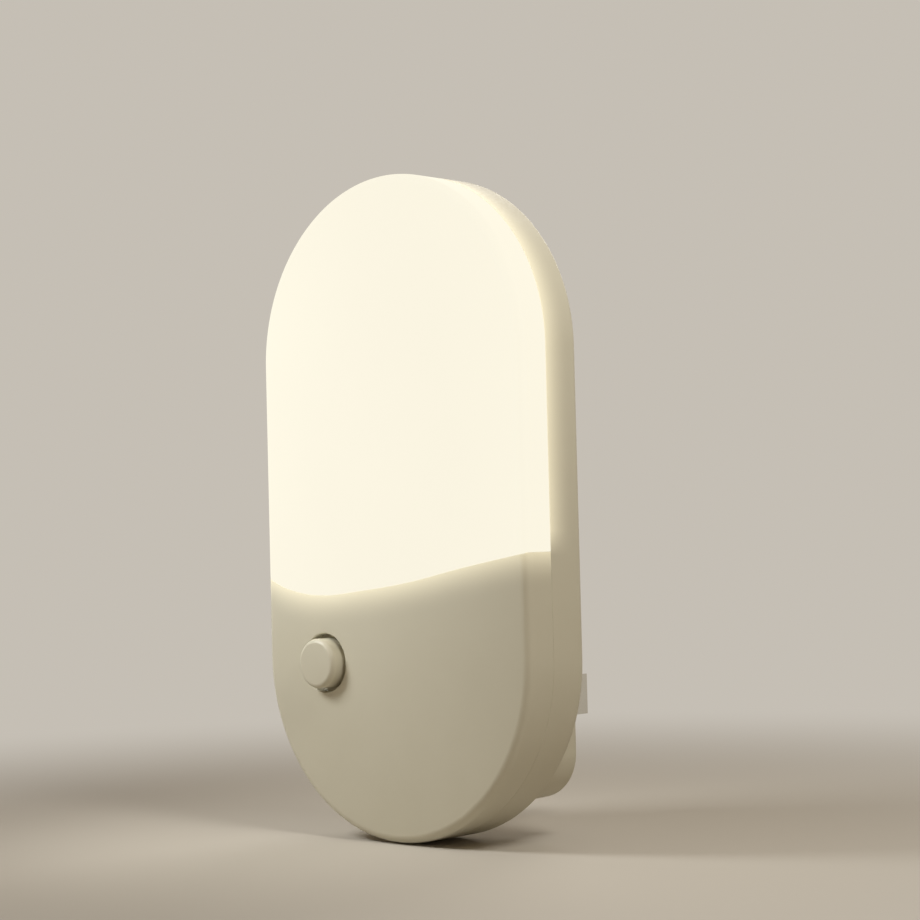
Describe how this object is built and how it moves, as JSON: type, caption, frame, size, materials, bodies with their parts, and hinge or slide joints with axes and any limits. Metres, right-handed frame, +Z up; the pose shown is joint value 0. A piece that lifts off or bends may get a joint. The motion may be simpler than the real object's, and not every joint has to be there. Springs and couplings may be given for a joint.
{
  "type": "plug in night light",
  "caption": "Slim pill shaped plug in night light with a wave edged milky diffuser, a round sprung push button and two flat plug blades.",
  "frame": {"origin": "on the flat plug face, midway between the two blades", "axes": "+X right as seen from the front, +Y into the wall along the blades, +Z up"},
  "size_m": [0.0546, 0.0391, 0.1],
  "materials": {
    "housing_plastic": "fine matte off-white moulded plastic",
    "cover_plastic": "fine matte off-white moulded plastic",
    "milky_diffuser": "milky translucent plastic, lit warm white from behind",
    "button_plastic": "satin off-white moulded plastic",
    "screw_steel": "zinc plated steel",
    "blade_brass": "nickel plated brass",
    "inner_plastic": "plain moulded plastic",
    "circuit_board": "green lacquered glass fibre board",
    "solder": "bright tin solder",
    "film_case": "dipped epoxy",
    "can_sleeve": "shrink sleeve",
    "fuse_lacquer": "lacquer",
    "chip_mould": "moulded epoxy",
    "switch_mould": "moulded plastic",
    "switch_sheet": "tinned steel sheet",
    "switch_plunger_plastic": "plain moulded plastic",
    "contact_brass": "plated brass",
    "spring_steel": "bright drawn wire",
    "lamp_board_white": "white lacquered board",
    "lamp_package": "white moulded package",
    "lamp_phosphor": "yellow phosphor silicone",
    "red_insulation": "extruded insulation",
    "black_insulation": "extruded insulation"
  },
  "bodies": {
    "light": {"rear_housing": "housing_plastic", "front_cover": "cover_plastic", "diffuser": "milky_diffuser", "cover_screws": "screw_steel", "plug_blade_left": "blade_brass", "plug_blade_right": "blade_brass", "blade_clamp": "inner_plastic", "clamp_screws": "screw_steel", "driver_board": "circuit_board", "board_screw": "screw_steel", "blade_solder": "solder", "film_capacitor": "film_case", "electrolytic_capacitor": "can_sleeve", "fuse_resistor": "fuse_lacquer", "bridge_rectifier": "chip_mould", "driver_chip": "chip_mould", "chip_resistors": "chip_mould", "switch_body": "switch_mould", "switch_cover": "switch_sheet", "switch_terminals": "contact_brass", "switch_spring": "spring_steel", "led_board": "lamp_board_white", "led_board_screws": "screw_steel", "led_packages": "lamp_package", "led_phosphors": "lamp_phosphor", "led_wire_red": "red_insulation", "led_wire_black": "black_insulation"},
    "button": {"push_button": "button_plastic", "switch_plunger": "switch_plunger_plastic", "switch_wiper": "contact_brass"}
  },
  "joints": [
    {"name": "button_press", "type": "slide", "parent": "light", "child": "button", "axis": [0, 1, 0], "range_m": [0, 0.0015], "stiffness_N_per_m": 300, "springref_m": -0.002, "deforming": ["switch_spring"]}
  ]
}
